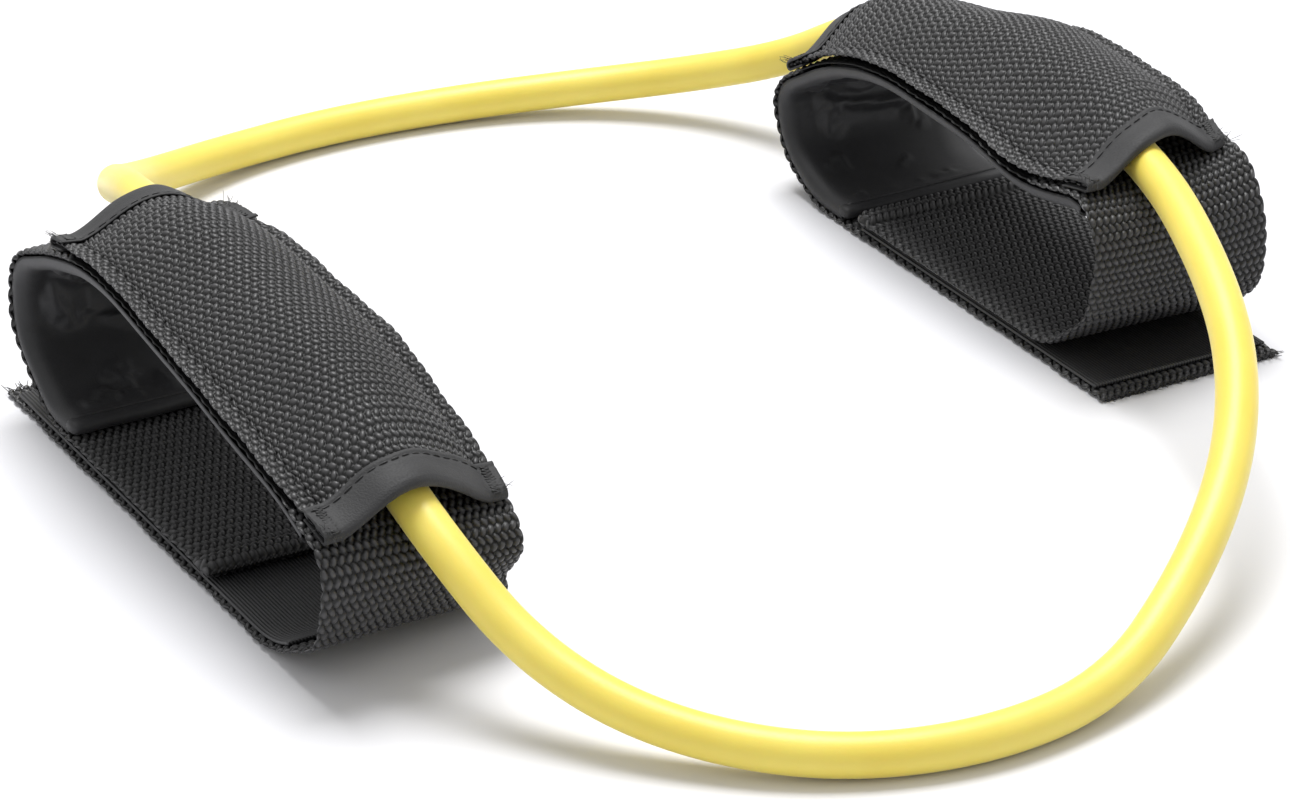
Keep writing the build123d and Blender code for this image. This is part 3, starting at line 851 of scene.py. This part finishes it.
def bar_tacks(cuff, rng, materials):
    """Dense zigzag stitches at the four corners of the hems, with a few loose thread ends."""
    lines, loose = [], []
    for end, inward in (("high", 1), ("low", -1)):
        for side in (-1, 1):
            middle = side * (HALF_WIDTH - 2.7)
            hem = cuff.hem(end, middle)
            steps = np.arange(0, 8.4, 0.42)
            swing = np.where(np.arange(len(steps)) % 2, 1.25, -1.25)
            swing = swing + rng.normal(0, 0.12, len(steps))
            along = hem + inward * (0.5 + steps)
            across = middle + swing
            fine = np.linspace(0, len(steps) - 1, 5 * len(steps))
            along = np.interp(fine, range(len(steps)), along)
            across = np.interp(fine, range(len(steps)), across)
            hump = 0.12 * np.abs(np.sin(math.pi * fine))
            out = cuff.arch(across, along) + HALF_WEB + TAPE_THICK + 0.12 - hump
            lines.append(cuff.cover_place(along, across, out))
            for _ in range(14):
                base_along = hem + inward * rng.uniform(-0.6, 5.0)
                base_across = side * (HALF_WIDTH - rng.uniform(-0.2, 3.0))
                length = rng.uniform(1.0, 4.2)
                drift = (-inward * rng.uniform(0, 1.0), side * rng.uniform(0.1, 1.0), rng.uniform(-0.1, 0.9))
                share = np.linspace(0, 1, 8)
                curl = rng.uniform(-0.8, 0.8, 3) * length * 0.35
                path = [
                    base_along + drift[0] * length * share + curl[0] * share ** 2,
                    base_across + drift[1] * length * share + curl[1] * share ** 2,
                    COVER_FOOT + 0.9 + drift[2] * length * share + curl[2] * share ** 2,
                ]
                loose.append(cuff.cover_place(*path))
    piece = strands(f"{cuff.side}_bar_tack_threads", lines, 0.24, materials["thread"])
    dress(piece, cuff.body, "charcoal_thread", f"{cuff.side}_bar_tacks")
    fuzz = strands(f"{cuff.side}_bar_tack_fray", loose, 0.07, materials["thread"], sides=3, taper=0.4)
    dress(fuzz, cuff.body, "charcoal_thread")


def frayed_end(cuff, rng, materials):
    """Loose yarn ends at the closure tail's raw cut."""
    end = cuff.route.length
    lines = []
    for _ in range(150):
        across = rng.uniform(-HALF_WIDTH + 0.3, HALF_WIDTH - 0.3)
        out = rng.uniform(-0.7, 0.6)
        length = rng.uniform(0.5, 2.6)
        share = np.linspace(0, 1, 6)
        sway = rng.uniform(-0.5, 0.5) * length
        lift = -rng.uniform(0.0, 0.5) * length
        lines.append(cuff.place(
            end - 0.4 + length * share,
            across + sway * share ** 2,
            np.minimum(out + lift * share ** 2, 0.75),
        ))
    piece = strands(f"{cuff.side}_tail_fray", lines, 0.11, materials["thread"], sides=3, taper=0.5)
    dress(piece, cuff.flap, "charcoal_thread")


# ---- tube ---------------------------------------------------------------------------------------
TUBE_ROUTE = [
    (-109.4, -10.57, 54.17),
    (-109.4, -31.75, 52.45),
    (-110.2, -71.6, 44.0),
    (-109.0, -97.1, 33.9),
    (-101.5, -121.1, 17.5),
    (-87.0, -146.1, 8.4),
    (-62.0, -169.6, 5.0),
    (-29.0, -180.6, 4.85),
    (6.0, -175.6, 5.2),
    (36.0, -159.1, 15.5),
    (60.0, -140.1, 26.5),
    (79.0, -115.6, 36.0),
    (92.0, -87.1, 44.0),
    (106.6, -43.5, 50.0),
    (109.4, 3.99, 53.6),
    (109.4, 43.9, 51.5),
    (109.4, 70.27, 44.5),
    (109.6, 92.9, 34.7),
    (102.5, 112.9, 21.5),
    (87.0, 135.9, 12.0),
    (62.0, 154.4, 6.6),
    (31.0, 164.4, 4.9),
    (-4.0, 167.4, 4.85),
    (-37.0, 162.4, 5.6),
    (-62.0, 149.4, 10.0),
    (-79.0, 127.9, 20.0),
    (-91.0, 103.9, 32.0),
    (-101.0, 74.9, 44.5),
    (-107.3, 50.9, 52.0),
    (-109.4, 12.11, 55.6),
    (-109.4, -9.07, 54.3),
]


def spline_points(corners, resolution=14):
    """Points of the smooth NURBS line that has the route's corners as its control points."""
    curve = bpy.data.curves.new("tube_route", "CURVE")
    curve.dimensions = "3D"
    curve.resolution_u = resolution
    spline = curve.splines.new("NURBS")
    spline.points.add(len(corners) - 1)
    for point, corner in zip(spline.points, corners):
        point.co = (*(value * MM for value in corner), 1.0)
    spline.order_u = 3
    spline.use_endpoint_u = True
    holder = add_object("tube_route", curve)
    bpy.context.view_layer.update()
    mesh = bpy.data.meshes.new_from_object(holder)
    points = np.array([vertex.co for vertex in mesh.vertices], float) / MM
    bpy.data.meshes.remove(mesh)
    bpy.data.objects.remove(holder)
    bpy.data.curves.remove(curve)
    return points


def tube(materials):
    """The loop of rubber tube, hollow, from one face of the joiner's collar round to the other."""
    path = spline_points(TUBE_ROUTE)
    one, two = frames_along(path)
    sides = 48
    turn = np.linspace(0, 2 * math.pi, sides, endpoint=False)
    round_ = np.cos(turn)[None, :, None] * one[:, None] + np.sin(turn)[None, :, None] * two[:, None]
    outer = path[:, None] + TUBE_OD / 2 * round_
    inner = path[:, None] + TUBE_ID / 2 * round_
    count = len(path)
    skin_faces = ring_faces(count, sides)
    bore_faces = skin_faces[:, ::-1] + count * sides
    column = np.arange(sides)
    after = (column + 1) % sides
    last = (count - 1) * sides
    bore = count * sides
    ends = np.concatenate([
        np.stack([column, column + bore, after + bore, after], 1),
        np.stack([last + column, last + after, last + after + bore, last + column + bore], 1),
    ])
    points = np.concatenate([outer.reshape(-1, 3), inner.reshape(-1, 3)])
    faces = np.concatenate([skin_faces, bore_faces, ends])
    piece = make_mesh("rubber_tube", points, faces, materials["rubber"])
    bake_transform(piece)
    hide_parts("tube")


# ---- materials ----------------------------------------------------------------------------------
class Shader:
    """A Principled material with short ways to add procedural detail in object coordinates."""

    def __init__(self, name, roughness):
        self.material = bpy.data.materials.new(name)
        self.material.use_nodes = True
        self.tree = self.material.node_tree
        self.tree.nodes.clear()
        self.output = self.tree.nodes.new("ShaderNodeOutputMaterial")
        self.surface = self.tree.nodes.new("ShaderNodeBsdfPrincipled")
        self.tree.links.new(self.surface.outputs[0], self.output.inputs["Surface"])
        self.surface.inputs["Roughness"].default_value = roughness
        self.coords = self.tree.nodes.new("ShaderNodeTexCoord").outputs["Object"]

    def set(self, **values):
        for key, value in values.items():
            self.surface.inputs[key.replace("_", " ")].default_value = value

    def node(self, kind, **settings):
        made = self.tree.nodes.new(kind)
        for key, value in settings.items():
            setattr(made, key, value)
        return made

    def link(self, start, end):
        self.tree.links.new(start, end)

    def noise(self, size, detail=3.0, stretch=(1, 1, 1)):
        """Noise whose features are about this many millimetres across."""
        mapping = self.node("ShaderNodeMapping")
        mapping.inputs["Scale"].default_value = tuple(value / (size * MM) for value in stretch)
        self.link(self.coords, mapping.inputs["Vector"])
        made = self.node("ShaderNodeTexNoise")
        made.inputs["Scale"].default_value = 1.0
        made.inputs["Detail"].default_value = detail
        self.link(mapping.outputs[0], made.inputs["Vector"])
        return made.outputs["Fac"]

    def ramp(self, value, stops):
        made = self.node("ShaderNodeValToRGB")
        elements = made.color_ramp.elements
        for index, (place, colour) in enumerate(stops):
            element = elements[index] if index < 2 else elements.new(place)
            element.position = place
            element.color = (*colour, 1)
        self.link(value, made.inputs[0])
        return made.outputs[0]

    def multiply(self, one, two):
        made = self.node("ShaderNodeMix", data_type="RGBA", blend_type="MULTIPLY")
        made.inputs[0].default_value = 1.0
        self.link(one, made.inputs[6])
        self.link(two, made.inputs[7])
        return made.outputs[2]

    def to(self, socket, value):
        self.link(value, self.surface.inputs[socket])

    def spread(self, value, low, high):
        made = self.node("ShaderNodeMapRange")
        made.inputs["To Min"].default_value = low
        made.inputs["To Max"].default_value = high
        self.link(value, made.inputs["Value"])
        return made.outputs[0]

    def bump(self, value, height):
        """Bump of a height in millimetres."""
        made = self.node("ShaderNodeBump")
        made.inputs["Strength"].default_value = 1.0
        made.inputs["Distance"].default_value = height * MM
        self.link(value, made.inputs["Height"])
        if self.surface.inputs["Normal"].is_linked:
            self.link(self.surface.inputs["Normal"].links[0].from_socket, made.inputs["Normal"])
        self.link(made.outputs[0], self.surface.inputs["Normal"])


def webbing_material():
    """Dark polyester yarns, with painted shade in the gaps between the floats and a soft shine on the floats.
    """
    shader = Shader("charcoal_webbing", 0.45)
    shader.set(Specular_IOR_Level=0.5)
    height = shader.node("ShaderNodeAttribute", attribute_name="weave").outputs["Fac"]
    # painted shade: by the yarn height, the base colour goes from the floats' tops down to near black in the
    # gaps between them
    stops = [(0.0, (0.001, 0.001, 0.001)), (0.5, (0.005, 0.005, 0.005)), (1.0, (0.052, 0.051, 0.053))]
    colour = shader.ramp(height, stops)
    patches = shader.ramp(shader.noise(14.0), [(0.3, (0.82, 0.82, 0.82)), (0.7, (1.15, 1.15, 1.15))])
    shader.to("Base Color", shader.multiply(colour, patches))
    fibres = shader.noise(0.22, 2.0, stretch=(1, 0.35, 1))
    shader.to("Roughness", shader.spread(fibres, 0.32, 0.55))
    shader.bump(fibres, 0.05)
    return shader.material


def hook_material():
    """Moulded hook tape, with painted light and shade: pale along the tops of its ribs and black in the
    grooves between them.
    """
    shader = Shader("black_hook_tape", 0.42)
    height = shader.node("ShaderNodeAttribute", attribute_name="weave").outputs["Fac"]
    # painted light and shade: by the rib height, the base colour is pale on the rib tops and black in the
    # grooves
    shader.to("Base Color", shader.ramp(height, [(0.15, (0.004, 0.004, 0.004)), (0.9, (0.05, 0.05, 0.052))]))
    fine = shader.noise(0.35, 2.0, stretch=(0.4, 1, 1))
    shader.to("Roughness", shader.spread(fine, 0.35, 0.55))
    shader.bump(fine, 0.06)
    return shader.material


def cloth_material(name, dark, light, grain, relief, roughness, sheen):
    """Plain dark cloth with a fine grain and faint patches."""
    shader = Shader(name, roughness)
    shader.set(Sheen_Weight=sheen, Sheen_Roughness=0.45)
    patches = shader.noise(9.0, 4.0)
    shader.to("Base Color", shader.ramp(patches, [(0.3, dark), (0.72, light)]))
    fine = shader.noise(grain, 2.0)
    shader.to("Roughness", shader.spread(fine, roughness - 0.08, roughness + 0.12))
    shader.bump(fine, relief)
    return shader.material


def rubber_material():
    """Matte latex: warm yellow, a little translucent, with a bloom of dust in patches."""
    shader = Shader("yellow_rubber", 0.42)
    shader.set(Subsurface_Weight=0.25, Subsurface_Scale=0.004, Specular_IOR_Level=0.6)
    shader.set(Sheen_Weight=0.35, Sheen_Roughness=0.35)
    shader.surface.inputs["Sheen Tint"].default_value = (1.0, 0.95, 0.75, 1)
    shader.surface.inputs["Subsurface Radius"].default_value = (1.0, 0.62, 0.12)
    patches = shader.noise(22.0, 4.0)
    shader.to("Base Color", shader.ramp(patches, [(0.3, (0.79, 0.625, 0.09)), (0.7, (0.83, 0.68, 0.125))]))
    fine = shader.noise(0.6, 3.0)
    shader.to("Roughness", shader.spread(fine, 0.36, 0.52))
    shader.bump(fine, 0.02)
    return shader.material


def plain_material(name, colour, roughness):
    """Moulded plastic or foam with a slight mottle."""
    shader = Shader(name, roughness)
    light = tuple(min(1.0, value * 1.2) for value in colour)
    shader.to("Base Color", shader.ramp(shader.noise(2.0), [(0.35, colour), (0.65, light)]))
    shader.bump(shader.noise(0.5), 0.05)
    return shader.material


def make_materials():
    return {
        "webbing": webbing_material(),
        "tape": cloth_material(
            "charcoal_tape", (0.016, 0.016, 0.017), (0.026, 0.026, 0.027),
            grain=0.45, relief=0.12, roughness=0.68, sheen=0.05,
        ),
        "thread": cloth_material(
            "charcoal_thread", (0.010, 0.010, 0.010), (0.024, 0.024, 0.025),
            grain=0.15, relief=0.03, roughness=0.5, sheen=0.05,
        ),
        "lining": cloth_material(
            "black_lining", (0.013, 0.013, 0.014), (0.020, 0.020, 0.022),
            grain=0.35, relief=0.04, roughness=0.55, sheen=0.04,
        ),
        "hook": hook_material(),
        "loop": cloth_material(
            "black_loop_tape", (0.014, 0.014, 0.015), (0.03, 0.03, 0.032),
            grain=0.25, relief=0.08, roughness=0.8, sheen=0.5,
        ),
        "foam": plain_material("grey_foam", (0.1, 0.1, 0.105), 0.85),
        "rubber": rubber_material(),
        "joiner": plain_material("joiner_plastic", (0.62, 0.6, 0.55), 0.4),
    }


# ---- floor, light and camera --------------------------------------------------------------------
def stage():
    """Plain pale floor, soft studio light from above and the camera."""
    shader = Shader("floor", 0.9)
    shader.surface.inputs["Base Color"].default_value = (0.73, 0.73, 0.755, 1)
    mesh = bpy.data.meshes.new("floor")
    reach = 30.0
    corners = [(-reach, -reach, 0), (reach, -reach, 0), (reach, reach, 0), (-reach, reach, 0)]
    mesh.from_pydata(corners, [], [(0, 1, 2, 3)])
    mesh.materials.append(shader.material)
    add_object("floor", mesh)

    world = bpy.data.worlds.new("studio")
    world.use_nodes = True
    world.node_tree.nodes["Background"].inputs[0].default_value = (1, 1, 1, 1)
    world.node_tree.nodes["Background"].inputs[1].default_value = 0.58
    bpy.context.scene.world = world
    for name, place, size, watts in (
        ("key", (0.3, 0.8, 2.6), 1.4, 90.0),
        ("fill", (0.9, -0.7, 1.0), 1.2, 1.5),
        ("side", (-1.2, -0.3, 0.9), 1.2, 1.5),
    ):
        light = bpy.data.lights.new(name, "AREA")
        light.size = size
        light.energy = watts
        lamp = add_object(name, light)
        lamp.location = place
        direction = -lamp.location
        lamp.rotation_euler = direction.to_track_quat("-Z", "Y").to_euler()

    camera = bpy.data.cameras.new("camera")
    camera.sensor_width = 36.0
    camera.lens = 131.2
    camera.clip_start, camera.clip_end = 0.05, 100.0
    holder = add_object("camera", camera)
    holder.location = (-0.4915, -0.8521, 0.487)
    holder.rotation_euler = (math.radians(63.5), 0, math.radians(-29.75))
    bpy.context.scene.camera = holder
    view = bpy.context.scene.view_settings
    view.view_transform = "Standard"
    view.look = "None"
    view.exposure = 0.0


def main():
    materials = make_materials()
    stage()
    tube(materials)
    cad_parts["tube_joiner"].data.materials.clear()
    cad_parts["tube_joiner"].data.materials.append(materials["joiner"])
    rng = np.random.default_rng(RNG_SEED)
    for cuff in (LEFT, RIGHT):
        strap(cuff, materials)
        closure_tail(cuff, materials)
        hook_tape(cuff, materials)
        loop_tape(cuff, materials)
        foam_pad(cuff, materials)
        lining(cuff, materials)
        lining_hem(cuff, materials)
        channel_cover(cuff, materials)
        hem_binding(cuff, "high", materials)
        hem_binding(cuff, "low", materials)
        seam_stitching(cuff, materials)
        bar_tacks(cuff, rng, materials)
        frayed_end(cuff, rng, materials)


main()
